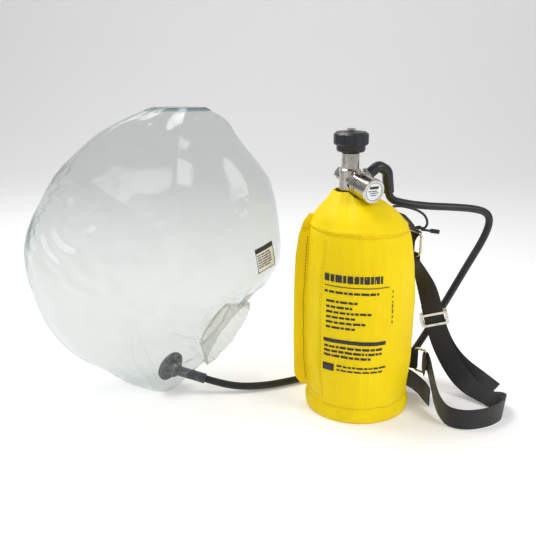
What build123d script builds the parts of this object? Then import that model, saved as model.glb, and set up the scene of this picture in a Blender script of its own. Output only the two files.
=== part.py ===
from build123d import *
import math
import os

# Emergency-escape smoke hood: a small air cylinder in a fabric pouch, a valve with a regulator,
# a supply hose and a clear film hood, with a carrying strap on two rings. Millimetres, +Z up.
# The origin is the centre of the pouch's base on the surface that it stands on.

# Pouch: height, centre x, centre y and radius of its round sections.
POUCH_SECTIONS = [
    (0, 0, 0, 61.5),
    (10, 0, 0, 62.5),
    (60, 0, 0, 64.6),
    (110, 0, 0, 66),
    (150, 0, 0, 65.4),
    (190, -1, 0, 63),
    (210, -1, 0, 60.5),
    (225, -2, 0, 57.5),
    (240, -5, 1, 50),
    (252, -8, 3, 38),
    (262, -12, 6, 26),
    (269, -14, 8, 19.5),
]
FABRIC = 1.5
BASE_RADIUS = 60.4
BASE_THICKNESS = 2.0
GAP = 0.5

# Peel-open front door of the pouch.
DOOR_LOW, DOOR_HIGH = 24, 222
DOOR_ANGLE = 220
HINGE_RADIUS = 66.6
LEAF_THICKNESS = 1.2
TAPE_THICKNESS = 0.6
LEAF_OUTLINE = [(-59, 24), (-69, 24), (-78, 36), (-79.5, 90), (-78.5, 190), (-73, 222)]

# Cylinder and valve share one upright axis.
AXIS_X, AXIS_Y = -15, 8
CYLINDER_RADIUS = 41
CYLINDER_WALL = 4
CYLINDER_FOOT = 3
CYLINDER_TOP = 258
NECK_RADIUS = 13
NECK_BORE = 8
VALVE_RADIUS = 12.5
VALVE_CENTRE_Z = 281
CROSS_RADIUS, CROSS_BACK, CROSS_FRONT = 10.6, 14, 15
BONNET_RADIUS = 10.4
BONNET_TOP = 313
KNOB_RADIUS = 20.3
KNOB_TOP = 337.5
COLLAR_TOP = 320
FLUTES = 12
SPINDLE_RADIUS = 4
SQUARE = 5

# Regulator barrel, pointing to the front right and slightly down.
BARREL_DIRECTION = Vector(0.464, -0.872, -0.156).normalized()
BARREL_RADIUS = 14.2
NUT_START, BARREL_START, BARREL_END = 15.1, 20, 44
CAP_LENGTH = 5
REGULATOR_BORE = 9.5

# Supply hose, its elbow boot and the hood inlet.
HOSE_DIAMETER = 9.5
BOOT_DIAMETER = 13
BOOT_ROUTE = [(8, 12, 286.5), (19, 16, 295), (30.5, 22, 288), (34, 26, 262)]
BOOT_RADII = [7.5, 10]
HOSE_ROUTE = [
    (34, 26, 262),
    (35.2, 27.4, 253.1),
    (53, 35, 246.5),
    (84, 46, 240.5),
    (121, 57, 237),
    (150, 66, 233),
    (168, 72, 227),
    (174, 75, 214),
    (167, 75, 191),
    (149, 73, 158),
    (125, 70, 112),
    (99, 68, 64),
    (79, 68, 29),
    (60, 71, 11),
    (32, 78, 5.5),
    (-8, 78, 5.2),
    (-46, 65, 5),
    (-83, 45, 5.2),
    (-117, 31, 5.1),
    (-149, 25, 7),
    (-174, 25, 12),
    (-192, 27, 17),
]
INLET_DIRECTION = Vector(-18, 2, 5).normalized()
INLET_LENGTH = 36
INLET_RADIUS = 6.5
PLATE_CENTRE = Vector(-236, 33, 31)
PLATE_NORMAL = Vector(-0.75, 0.6, 0.28).normalized()
PLATE_RADIUS = 20
PLATE_THICKNESS = 4
HUB_LENGTH = 10

# Hood: height, left x, right x, centre y and half depth of its oval sections.
HOOD_SECTIONS = [
    (0, -262, -238, 31, 8),
    (8, -286, -222, 31, 18),
    (24, -312, -205, 33, 30),
    (50, -354, -185, 35, 46),
    (80, -384, -170, 37, 62),
    (120, -403, -138, 38, 78),
    (170, -413, -96, 38, 86),
    (215, -405, -94, 38, 86),
    (260, -382, -102, 38, 78),
    (300, -350, -124, 36, 64),
    (330, -316, -146, 34, 44),
    (350, -276, -164, 32, 26),
    (361, -244, -186, 30, 10),
]
FILM = 1.2
NECK_CENTRE = Vector(-164, 36, 78)
NECK_DIRECTION = Vector(0.79, 0, -0.61).normalized()
NECK_OPENING = 46
COLLAR_RADIUS, COLLAR_DEPTH = 33, 20
ELASTIC_RADIUS = 1.8
LABEL_CENTRE = (-100, -20, 188)
LABEL_WIDTH, LABEL_HEIGHT = 28, 32

# Webbing, rings and the slide.
WEBBING = 25
WEB_THICKNESS = 1.6
WIRE = 3
RING_ANGLE = 20
UPPER_RING_R, UPPER_BAR_Z, RING_HEIGHT = 71, 214, 28
RING_WIDTH = 34
LOWER_RING_CENTRE = (83, 20, 46)
LOWER_RING_DIRECTION = Vector(0.75, -0.66, 0).normalized()
LOWER_RING_WIDTH, LOWER_RING_HEIGHT = 14, 30
SLIDE_CENTRE = Vector(98.3, 24.2, 101.5)
SLIDE_ALONG = Vector(0.285, 0, -0.9585).normalized()
SLIDE_ACROSS = Vector(0.93, -0.22, 0.2765)
SLIDE_WINDOW = WEBBING + 3
SLIDE_DEPTH, SLIDE_BAR = 10, 1.2

DRAWCORD_DIAMETER = 3
DRAWCORD_ROUTE = [
    (38.5, 17.5, 246),
    (47, 21, 246),
    (58, 24.5, 243.5),
    (70, 27.5, 239.5),
    (80, 29.5, 233),
    (84.5, 30.5, 223),
    (81, 31, 215),
    (76.4, 31, 216.6),
]
KNOT_CENTRE = (73.6, 30.6, 217)
KNOT_RADIUS = 3.6
TIP_START, TIP_END = Vector(75.4, 26.6, 215.4), Vector(98, 26, 212.6)
TIP_SHANK, TIP_LENGTH, TIP_RADIUS = 12, 10.5, 2.7


def save(part, name):
    part.label = name
    export_step(part, f"parts/{name}.step")


def cord_radii(route, label):
    """Largest bend radius at each inner point: 0.45 of the shorter run over the tangent of half its turn."""
    points = [Vector(*p) for p in route]
    radii = []
    for before, here, after in zip(points, points[1:], points[2:]):
        run_in, run_out = here - before, after - here
        half_turn = math.radians(run_in.get_angle(run_out)) / 2
        radii.append(0.45 * min(run_in.length, run_out.length) / math.tan(half_turn))
    print(label, "bend radii", [round(r, 1) for r in radii])
    return radii


def tube(route, radii, diameter):
    with BuildPart() as made:
        with BuildLine() as path:
            FilletPolyline(*route, radius=radii)
        with BuildSketch(Plane(origin=path.line @ 0, z_dir=path.line % 0)):
            Circle(diameter / 2)
        sweep()
    length = path.wires()[0].length
    expected = math.pi * diameter**2 / 4 * length
    print("tube length", round(length, 1), "volume ratio", round(made.part.volume / expected, 4))
    return made.part


def ribbon(stations):
    """Flat webbing through stations of a centre point and a width direction, as one ruled loft."""
    centres = [Vector(*p) for p, _ in stations]
    last = len(centres) - 1
    with BuildPart() as made:
        for i, (_, across) in enumerate(stations):
            along = (centres[min(i + 1, last)] - centres[max(i - 1, 0)]).normalized()
            width = Vector(*across)
            width = (width - along * width.dot(along)).normalized()
            with BuildSketch(Plane(origin=centres[i], x_dir=width, z_dir=along)):
                Rectangle(WEBBING, WEB_THICKNESS)
        loft(ruled=True)
    return made.part


os.makedirs("parts", exist_ok=True)

# ---------------------------------------------------------------- planes
axis_line = Axis((AXIS_X, AXIS_Y, 0), (0, 0, 1))
upright = Plane(origin=(AXIS_X, AXIS_Y, 0), x_dir=(1, 0, 0), z_dir=(0, -1, 0))
valve_origin = Vector(AXIS_X, AXIS_Y, VALVE_CENTRE_Z)


def barrel_plane(distance):
    return Plane(origin=valve_origin + BARREL_DIRECTION * distance, z_dir=BARREL_DIRECTION)


ring_out = Vector(math.cos(math.radians(RING_ANGLE)), math.sin(math.radians(RING_ANGLE)), 0)
ring_across = Vector(-ring_out.Y, ring_out.X, 0)
ring_profile = Plane(origin=(0, 0, 0), x_dir=ring_out, z_dir=-ring_across)


# ---------------------------------------------------------------- pouch
def pouch_solid(grow):
    with BuildPart() as made:
        for z, x, y, radius in POUCH_SECTIONS:
            with BuildSketch(Plane.XY.offset(z)):
                with Locations((x, y)):
                    Circle(radius + grow)
        loft(ruled=True)
    return made.part


hinge_x = -1 + HINGE_RADIUS * math.cos(math.radians(DOOR_ANGLE))
hinge_y = HINGE_RADIUS * math.sin(math.radians(DOOR_ANGLE))
print("door hinge", round(hinge_x, 3), round(hinge_y, 3))
slope = math.tan(math.radians(DOOR_ANGLE))
door_wedge = [(-33, -TAPE_THICKNESS), (-95, -TAPE_THICKNESS), (-95, -94 * slope), (-36, -35 * slope)]
shell = pouch_solid(0) - pouch_solid(-FABRIC)

with BuildPart() as pouch_wall:
    add(shell)
    with BuildSketch(Plane.XZ.offset(-TAPE_THICKNESS)):
        Polygon(*LEAF_OUTLINE, (-62, 240), (-54, 243), (-58, 214), align=None)
    extrude(amount=-LEAF_THICKNESS)
    with BuildSketch(Plane.XY.offset(DOOR_LOW - GAP)):
        with BuildLine():
            Polyline(*door_wedge, close=True)
        make_face()
        offset(amount=GAP, kind=Kind.INTERSECTION)
    extrude(amount=DOOR_HIGH - DOOR_LOW + 2 * GAP, mode=Mode.SUBTRACT)
    # The cloth stands clear of the regulator barrel all the way round.
    with BuildSketch(barrel_plane(6)):
        Circle(BARREL_RADIUS + 1.5)
    extrude(amount=60, mode=Mode.SUBTRACT)
    with BuildSketch(Plane.XY.offset(-1)):
        Circle(BASE_RADIUS + 0.2)
    extrude(amount=BASE_THICKNESS + 1.2, mode=Mode.SUBTRACT)
save(pouch_wall.part, "pouch_wall")

with BuildPart() as pouch_base:
    with BuildSketch():
        Circle(BASE_RADIUS)
    extrude(amount=BASE_THICKNESS)
save(pouch_base.part, "pouch_base")

with BuildPart() as pouch_door:
    add(shell)
    with BuildSketch(Plane.XY.offset(DOOR_LOW)):
        with BuildLine():
            Polyline(*door_wedge, close=True)
        make_face()
    extrude(amount=DOOR_HIGH - DOOR_LOW, mode=Mode.INTERSECT)
    with BuildSketch(Plane.XZ.offset(TAPE_THICKNESS)):
        Polygon(*LEAF_OUTLINE, (-60, DOOR_HIGH), align=None)
    extrude(amount=LEAF_THICKNESS)
save(pouch_door.part, "pouch_door")

for name, near, depth in (("hook_tape", 0.1, 1), ("loop_tape", -0.1, -1)):
    with BuildPart() as tape:
        with BuildSketch(Plane.XZ.offset(near)):
            with Locations((-71.5, 118)):
                Rectangle(10, 150)
        extrude(amount=depth * (TAPE_THICKNESS - 0.1))
    save(tape.part, name)

# ---------------------------------------------------------------- air cylinder
with BuildPart() as air_cylinder:
    with BuildSketch(upright):
        with BuildLine():
            Polyline(
                (0, CYLINDER_FOOT),
                (CYLINDER_RADIUS, CYLINDER_FOOT),
                (CYLINDER_RADIUS, 212),
                (NECK_RADIUS, 238),
                (NECK_RADIUS, CYLINDER_TOP),
                (0, CYLINDER_TOP),
                close=True,
            )
        made = make_face()
        fillet(made.vertices().sort_by(Axis.X)[-2:], radius=9)
    revolve(axis=axis_line)
    with BuildSketch(upright):
        with BuildLine():
            Polyline(
                (0, CYLINDER_FOOT + 5),
                (CYLINDER_RADIUS - CYLINDER_WALL, CYLINDER_FOOT + 5),
                (CYLINDER_RADIUS - CYLINDER_WALL, 209),
                (NECK_BORE, 234),
                (NECK_BORE, CYLINDER_TOP),
                (0, CYLINDER_TOP),
                close=True,
            )
        make_face()
    revolve(axis=axis_line, mode=Mode.SUBTRACT)
save(air_cylinder.part, "air_cylinder")

with BuildPart() as neck_seal:
    with BuildSketch(upright):
        with Locations((NECK_RADIUS - 2.5, CYLINDER_TOP + 1)):
            Circle(0.95)
    revolve(axis=axis_line)
save(neck_seal.part, "neck_seal")

# ---------------------------------------------------------------- valve
VALVE_FOOT = CYLINDER_TOP + 2
VALVE_TOP = 293.5
with BuildPart() as valve_body:
    with BuildSketch(Plane(origin=(AXIS_X, AXIS_Y, CYLINDER_TOP - 18))):
        Circle(NECK_BORE - 0.1)
    extrude(amount=20)
    with BuildSketch(Plane(origin=(AXIS_X, AXIS_Y, VALVE_FOOT))):
        Circle(VALVE_RADIUS)
    extrude(amount=VALVE_TOP - VALVE_FOOT)
    chamfer(valve_body.edges().filter_by(GeomType.CIRCLE).sort_by(Axis.Z)[-1], length=1.5)
    with BuildSketch(barrel_plane(-CROSS_BACK)):
        Circle(CROSS_RADIUS)
    extrude(amount=CROSS_BACK + CROSS_FRONT)
    with BuildSketch(Plane(origin=(AXIS_X, AXIS_Y, CYLINDER_TOP - 19))):
        Circle(2.5)
    extrude(amount=30, mode=Mode.SUBTRACT)
    with BuildSketch(Plane(origin=(AXIS_X, AXIS_Y, 272))):
        Circle(SPINDLE_RADIUS + 0.5)
    extrude(amount=30, mode=Mode.SUBTRACT)
    with BuildSketch(barrel_plane(SPINDLE_RADIUS)):
        Circle(2)
    extrude(amount=20, mode=Mode.SUBTRACT)
save(valve_body.part, "valve_body")

with BuildPart() as valve_bonnet:
    with BuildSketch(upright):
        with BuildLine():
            Polyline(
                (SPINDLE_RADIUS + 0.5, VALVE_TOP),
                (BONNET_RADIUS, VALVE_TOP),
                (BONNET_RADIUS, BONNET_TOP - 2),
                (BONNET_RADIUS - 1, BONNET_TOP - 1),
                (SPINDLE_RADIUS + 0.5, BONNET_TOP - 1),
                close=True,
            )
        make_face()
    revolve(axis=axis_line)
save(valve_bonnet.part, "valve_bonnet")

with BuildPart() as spindle:
    with BuildSketch(Plane(origin=(AXIS_X, AXIS_Y, 276))):
        Circle(SPINDLE_RADIUS)
    extrude(amount=40)
    with BuildSketch(Plane(origin=(AXIS_X, AXIS_Y, 316))):
        Rectangle(SQUARE, SQUARE)
    extrude(amount=KNOB_TOP - 316)
save(spindle.part, "spindle")

with BuildPart() as seat_disc:
    with BuildSketch(Plane(origin=(AXIS_X, AXIS_Y, 273.5))):
        Circle(SPINDLE_RADIUS - 0.2)
    extrude(amount=2.5)
save(seat_disc.part, "seat_disc")

with BuildPart() as handwheel:
    with BuildSketch(upright):
        with BuildLine():
            Polyline(
                (0, BONNET_TOP),
                (15.5, BONNET_TOP),
                (16.8, BONNET_TOP + 2),
                (16.8, COLLAR_TOP),
                (18.8, COLLAR_TOP + 0.6),
                (KNOB_RADIUS, 322.5),
                (KNOB_RADIUS, 333),
                (KNOB_RADIUS - 3, 335.5),
                (6, 336.5),
                (0, 336.5),
                close=True,
            )
        make_face()
    revolve(axis=axis_line)
    with BuildSketch(Plane(origin=(AXIS_X, AXIS_Y, COLLAR_TOP))):
        with PolarLocations(KNOB_RADIUS + 2.4, FLUTES):
            Circle(3.1)
    extrude(amount=20, mode=Mode.SUBTRACT)
    with BuildSketch(Plane(origin=(AXIS_X, AXIS_Y, BONNET_TOP))):
        Circle(SPINDLE_RADIUS + 0.1)
    extrude(amount=3.1, mode=Mode.SUBTRACT)
    with BuildSketch(Plane(origin=(AXIS_X, AXIS_Y, BONNET_TOP))):
        Rectangle(SQUARE + 0.1, SQUARE + 0.1)
    extrude(amount=30, mode=Mode.SUBTRACT)
save(handwheel.part, "handwheel")

with BuildPart() as handwheel_nut:
    with BuildSketch(Plane(origin=(AXIS_X, AXIS_Y, KNOB_TOP))):
        RegularPolygon(5, 6)
    extrude(amount=2.2)
save(handwheel_nut.part, "handwheel_nut")

with BuildPart() as safety_plug:
    with BuildSketch(barrel_plane(-CROSS_BACK)):
        RegularPolygon(10, 6)
    extrude(amount=-6)
    with BuildSketch(barrel_plane(-CROSS_BACK - 6)):
        Circle(7)
    extrude(amount=-3)
save(safety_plug.part, "safety_plug")

# ---------------------------------------------------------------- regulator
with BuildPart() as regulator_nut:
    with BuildSketch(barrel_plane(NUT_START)):
        RegularPolygon(BARREL_RADIUS, 6)
        Circle(4, mode=Mode.SUBTRACT)
    extrude(amount=BARREL_START - NUT_START)
save(regulator_nut.part, "regulator_nut")

with BuildPart() as regulator_barrel:
    with BuildSketch(barrel_plane(BARREL_START)):
        Circle(BARREL_RADIUS)
    extrude(amount=BARREL_END - BARREL_START)
    for distance in (24, 28):
        with BuildSketch(barrel_plane(distance)):
            Circle(BARREL_RADIUS + 1)
            Circle(BARREL_RADIUS - 1, mode=Mode.SUBTRACT)
        extrude(amount=1.4, mode=Mode.SUBTRACT)
    with BuildSketch(barrel_plane(BARREL_START + 3)):
        Circle(REGULATOR_BORE)
    extrude(amount=30, mode=Mode.SUBTRACT)
    with BuildSketch(barrel_plane(BARREL_START)):
        Circle(2)
    extrude(amount=4, mode=Mode.SUBTRACT)
save(regulator_barrel.part, "regulator_barrel")

with BuildPart() as regulator_piston:
    with BuildSketch(barrel_plane(BARREL_START + 3.2)):
        Circle(REGULATOR_BORE - 0.2)
    extrude(amount=3)
save(regulator_piston.part, "regulator_piston")

with BuildPart() as regulator_spring:
    with BuildLine() as coil:
        spring_foot = barrel_plane(BARREL_START + 8.6).origin
        Helix(pitch=3, height=9, radius=7, center=spring_foot, direction=BARREL_DIRECTION)
    with BuildSketch(Plane(origin=coil.line @ 0, z_dir=coil.line % 0)):
        Circle(0.7)
    sweep(is_frenet=True)
save(regulator_spring.part, "regulator_spring")

with BuildPart() as regulator_cap:
    with BuildSketch(barrel_plane(BARREL_END)):
        Circle(BARREL_RADIUS + 0.2)
    extrude(amount=CAP_LENGTH)
    chamfer(regulator_cap.edges().filter_by(GeomType.CIRCLE).sort_by(Axis.Y)[0], length=1)
    with BuildSketch(barrel_plane(BARREL_END + CAP_LENGTH - 0.8)):
        Circle(11.8)
    extrude(amount=2, mode=Mode.SUBTRACT)
save(regulator_cap.part, "regulator_cap")

with BuildPart() as regulator_face:
    with BuildSketch(barrel_plane(BARREL_END + CAP_LENGTH - 0.8)):
        Circle(11.6)
    extrude(amount=0.6)
save(regulator_face.part, "regulator_face")

outlet_direction = (Vector(*BOOT_ROUTE[0]) - valve_origin).normalized()
outlet_reach = (Vector(*BOOT_ROUTE[0]) - valve_origin).length
with BuildPart() as outlet_fitting:
    with BuildSketch(Plane(origin=valve_origin + outlet_direction * 8, z_dir=outlet_direction)):
        Circle(5)
    extrude(amount=outlet_reach - 8)
    nut_origin = valve_origin + outlet_direction * (outlet_reach - 7)
    with BuildSketch(Plane(origin=nut_origin, z_dir=outlet_direction)):
        RegularPolygon(7.5, 6)
    extrude(amount=4.5)
    add(valve_body.part, mode=Mode.SUBTRACT)
    add(regulator_nut.part, mode=Mode.SUBTRACT)
outlet_piece = outlet_fitting.part.solids().sort_by(SortBy.VOLUME)[-1]
save(Part(outlet_piece.wrapped), "outlet_fitting")

# ---------------------------------------------------------------- hose
hose_boot = tube(BOOT_ROUTE, BOOT_RADII, BOOT_DIAMETER)
save(hose_boot, "hose_boot")
hose = tube(HOSE_ROUTE, cord_radii(HOSE_ROUTE, "hose"), HOSE_DIAMETER)
save(hose, "hose")

# ---------------------------------------------------------------- hood inlet
inlet_start = Vector(*HOSE_ROUTE[-1])
inlet_plane = Plane(origin=inlet_start, z_dir=INLET_DIRECTION)
with BuildPart() as inlet_tube:
    with BuildSketch(inlet_plane):
        Circle(INLET_RADIUS)
    extrude(amount=INLET_LENGTH)
    with BuildSketch(inlet_plane.offset(4)):
        Circle(2.6)
    extrude(amount=INLET_LENGTH, mode=Mode.SUBTRACT)
save(inlet_tube.part, "inlet_tube")

plate_plane = Plane(origin=PLATE_CENTRE, z_dir=PLATE_NORMAL)
with BuildPart() as inlet_plate:
    with BuildSketch(plate_plane):
        Circle(PLATE_RADIUS)
        with PolarLocations(15, 8):
            Circle(2, mode=Mode.SUBTRACT)
    extrude(amount=PLATE_THICKNESS)
    fillet(inlet_plate.edges().filter_by(GeomType.CIRCLE).group_by(SortBy.RADIUS)[-1], radius=1)
save(inlet_plate.part, "inlet_plate")

with BuildPart() as inlet_hub:
    with BuildSketch(plate_plane.offset(-HUB_LENGTH)):
        Circle(9.5)
    extrude(amount=HUB_LENGTH)
save(inlet_hub.part, "inlet_hub")


# ---------------------------------------------------------------- hood
def hood_solid(grow):
    lift = -grow if grow < 0 else 0
    with BuildPart() as made:
        for i, (z, left, right, y, depth) in enumerate(HOOD_SECTIONS):
            level = z
            if i == 0:
                level = z + lift
            if i == len(HOOD_SECTIONS) - 1:
                level = z - lift
            with BuildSketch(Plane.XY.offset(level)):
                with Locations(((left + right) / 2, y)):
                    Ellipse((right - left) / 2 + grow, depth + grow)
        loft()
    return made.part


with BuildPart() as hood:
    add(hood_solid(0))
    add(hood_solid(-FILM), mode=Mode.SUBTRACT)
    with BuildSketch(Plane(origin=NECK_CENTRE - NECK_DIRECTION * 26, z_dir=NECK_DIRECTION)):
        Circle(NECK_OPENING + 0.8)
    extrude(amount=80, mode=Mode.SUBTRACT)
    with BuildSketch(inlet_plane.offset(-6)):
        Circle(INLET_RADIUS + 0.3)
    extrude(amount=28, mode=Mode.SUBTRACT)
hood_piece = hood.part.solids().sort_by(SortBy.VOLUME)[-1]
save(Part(hood_piece.wrapped), "hood")

neck_profile = Plane(origin=NECK_CENTRE, x_dir=(0, 1, 0), z_dir=NECK_DIRECTION.cross(Vector(0, 1, 0)) * -1)
with BuildPart() as neck_collar:
    with BuildSketch(neck_profile):
        with BuildLine():
            Polyline(
                (NECK_OPENING, 0),
                (NECK_OPENING, -7),
                (COLLAR_RADIUS, -COLLAR_DEPTH),
                (COLLAR_RADIUS - 0.8, 1 - COLLAR_DEPTH),
                (NECK_OPENING - FILM, -6.4),
                (NECK_OPENING - FILM, 0),
                close=True,
            )
        make_face()
    revolve(axis=Axis(NECK_CENTRE, NECK_DIRECTION))
save(neck_collar.part, "neck_collar")

with BuildPart() as neck_elastic:
    with BuildSketch(neck_profile):
        with Locations((COLLAR_RADIUS - 2.8, 1 - COLLAR_DEPTH)):
            Circle(ELASTIC_RADIUS)
    revolve(axis=Axis(NECK_CENTRE, NECK_DIRECTION))
save(neck_elastic.part, "neck_elastic")

with BuildPart() as hood_label:
    add(hood_solid(0.7))
    add(hood_solid(0.2), mode=Mode.SUBTRACT)
    with BuildSketch(Plane(origin=LABEL_CENTRE, x_dir=(0.8, 0.6, 0), z_dir=(0.6, -0.8, 0))):
        Rectangle(LABEL_WIDTH, LABEL_HEIGHT)
    extrude(amount=60, both=True, mode=Mode.INTERSECT)
label_piece = hood_label.part.solids().sort_by(Axis.Y)[0]
save(Part(label_piece.wrapped), "hood_label")


# ---------------------------------------------------------------- rings and tabs
def tab(plane, middle, points):
    """Webbing folded around a bar, drawn in a plane that the bar crosses at right angles."""
    with BuildPart() as made:
        with BuildSketch(plane.offset(middle)):
            with BuildLine():
                line = Polyline(*points)
            trace(line, WEB_THICKNESS)
        extrude(amount=WEBBING / 2, both=True)
    return made.part


def around_bar(bar, start, end, steps=6, reach=WIRE / 2 + 0.6 + WEB_THICKNESS / 2):
    """Points on a small arc about a bar, from one angle to another, in degrees."""
    angles = [math.radians(start + (end - start) * i / steps) for i in range(steps + 1)]
    return [(bar[0] + reach * math.cos(a), bar[1] + reach * math.sin(a)) for a in angles]


def ring(plane, width, height, radii):
    """A closed ring of round wire in a plane, its bars width apart and height apart at their middles."""
    x, y = width / 2, height / 2
    corners = [(-x, -y), (x, -y), (x, y), (-x, y)]
    with BuildPart() as made:
        with BuildLine(plane) as path:
            FilletPolyline(*corners, radius=radii, close=True)
        with BuildSketch(Plane(origin=path.line @ 0, z_dir=path.line % 0)):
            Circle(WIRE / 2)
        sweep()
    return made.part


upper_centre = ring_out * UPPER_RING_R + Vector(0, 0, UPPER_BAR_Z - RING_HEIGHT / 2)
upper_plane = Plane(origin=upper_centre, x_dir=ring_across, z_dir=ring_out)
save(ring(upper_plane, RING_WIDTH, RING_HEIGHT, [7, 7, 4, 4]), "upper_ring")
upper_fold = around_bar((UPPER_RING_R, UPPER_BAR_Z), 125, -110)
upper_path = [(50.5, 238), (60.5, 228), *upper_fold, (66, 206), (65.3, 198), (65, 188)]
save(tab(ring_profile, 0, upper_path), "upper_tab")

lower_plane = Plane(
    origin=LOWER_RING_CENTRE, x_dir=LOWER_RING_DIRECTION, z_dir=LOWER_RING_DIRECTION.cross(Vector(0, 0, 1))
)
save(ring(lower_plane, LOWER_RING_WIDTH, LOWER_RING_HEIGHT, [3, 3, 3, 3]), "lower_ring")
bar_step = LOWER_RING_DIRECTION * (LOWER_RING_WIDTH / 2)
inner_bar = Vector(*LOWER_RING_CENTRE) - bar_step
outer_bar = Vector(*LOWER_RING_CENTRE) + bar_step
lower_fold = around_bar((inner_bar.X, inner_bar.Y), 57.7, -122.3)
lower_path = [(58, 34), (66, 33), *lower_fold, (66, 27.5), (61.5, 26.5)]
save(tab(Plane.XY, LOWER_RING_CENTRE[2], lower_path), "lower_tab")


def on_ring(r, z):
    return tuple(ring_out * r + Vector(0, 0, z))


# ---------------------------------------------------------------- straps
across = tuple(-ring_across)
ring_foot_z = UPPER_BAR_Z - RING_HEIGHT
over_foot = around_bar((UPPER_RING_R, ring_foot_z), 180, 0)
main_stations = [(on_ring(68.4, ring_foot_z - 12), across), (on_ring(68.2, ring_foot_z - 5), across)]
main_stations += [(on_ring(r, z), across) for r, z in over_foot]
main_stations += [
    (on_ring(74.4, ring_foot_z - 8), across),
    ((75, 24, 168), (0.5, -0.86, 0)),
    ((80, 23.5, 157), (0.68, -0.73, 0)),
    ((86, 23, 143), (0.85, -0.52, 0)),
    ((92, 22, 124), (0.95, -0.3, 0)),
    ((98, 22, 101), (0.97, -0.2, 0.1)),
    ((104, 22, 83), (0.97, -0.2, 0.2)),
    ((111, 21.5, 65), (0.95, -0.2, 0.3)),
    ((120, 20, 47), (0.9, -0.2, 0.4)),
    ((131, 17, 30), (0.85, 0.0, 0.45)),
    ((143, 12, 17), (0.8, 0.3, 0.4)),
    ((155, 4, 9.5), (0.75, 0.5, 0.3)),
    ((166, -8, 7.5), (0.68, 0.55, 0.35)),
    ((174, -22, 9.5), (0.5, 0.35, 0.75)),
    ((175, -38, 12.6), (0.2, 0.1, 0.95)),
    ((167, -54, 13), (0, 0, 1)),
    ((152, -67, 13), (0, 0, 1)),
    ((133, -75, 13), (0, 0, 1)),
    ((115, -76, 13), (0, 0, 1)),
    ((101, -68, 13.4), (0, 0, 1)),
    ((95, -52, 16), (0, 0, 1)),
    ((92.5, -34, 23), (0, 0, 1)),
    ((92, -17, 32), (0, 0, 1)),
    ((91.8, 0, 41), (0, 0, 1)),
    ((91.5, 9, 45), (0, 0, 1)),
]
main_stations += [((x, y, 46), (0, 0, 1)) for x, y in around_bar((outer_bar.X, outer_bar.Y), 0, 180)]
main_stations += [((85.2, 9, 45.5), (0, 0, 1)), ((86, 0, 42), (0, 0, 1))]
save(ribbon(main_stations), "shoulder_strap")

tail_stations = [
    ((93.6, 26.4, 119), (0.97, -0.2, 0.1)),
    ((98.6, 26.4, 102), (0.97, -0.2, 0.1)),
    ((104.4, 26.4, 85), (0.97, -0.2, 0.2)),
    ((113.5, 27, 66), (0.93, -0.2, 0.3)),
    ((125, 27, 49), (0.86, -0.2, 0.45)),
    ((138.5, 26.5, 34.5), (0.8, -0.1, 0.6)),
    ((152.5, 24, 23.5), (0.75, 0.1, 0.6)),
    ((166, 17, 15.5), (0.7, 0.35, 0.5)),
    ((177, 7, 10.5), (0.75, 0.5, 0.35)),
]
save(ribbon(tail_stations), "strap_tail")

waist_stations = [
    ((68.5, 46, 13), (0, 0, 1)),
    ((76, 34, 13), (0, 0, 1)),
    ((82, 18, 13), (0, 0, 1)),
    ((86, 0, 12.8), (0.1, 0, 1)),
    ((89, -18, 12.7), (0, 0, 1)),
]
save(ribbon(waist_stations), "waist_strap")

# ---------------------------------------------------------------- slide
slide_plane = Plane(origin=SLIDE_CENTRE, x_dir=SLIDE_ACROSS, z_dir=SLIDE_ACROSS.cross(SLIDE_ALONG))
with BuildPart() as strap_slide:
    with BuildSketch(slide_plane):
        RectangleRounded(SLIDE_WINDOW + 7, 17, 3)
        Rectangle(SLIDE_WINDOW, 11, mode=Mode.SUBTRACT)
    extrude(amount=SLIDE_DEPTH / 2, both=True)
    with BuildSketch(slide_plane):
        Rectangle(SLIDE_WINDOW, 40)
    extrude(amount=SLIDE_DEPTH / 2 - SLIDE_BAR, both=True, mode=Mode.SUBTRACT)
save(strap_slide.part, "strap_slide")

# ---------------------------------------------------------------- drawcord
drawcord = tube(DRAWCORD_ROUTE, cord_radii(DRAWCORD_ROUTE, "drawcord"), DRAWCORD_DIAMETER)
save(drawcord, "drawcord")
with BuildPart() as drawcord_knot:
    with Locations(KNOT_CENTRE):
        Sphere(KNOT_RADIUS)
save(drawcord_knot.part, "drawcord_knot")
tip_plane = Plane(origin=TIP_START, z_dir=TIP_END - TIP_START)
with BuildPart() as drawcord_tip:
    with BuildSketch(tip_plane):
        Circle(DRAWCORD_DIAMETER / 2)
    extrude(amount=TIP_SHANK)
    with BuildSketch(tip_plane.offset(TIP_SHANK)):
        Circle(TIP_RADIUS)
    extrude(amount=TIP_LENGTH)
save(drawcord_tip.part, "drawcord_tip")
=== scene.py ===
"""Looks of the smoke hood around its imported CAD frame: film, cloth, webbing, cords, print and materials."""
import math
import random

import bpy
import numpy as np
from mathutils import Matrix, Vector, noise
from mathutils.bvhtree import BVHTree


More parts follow.
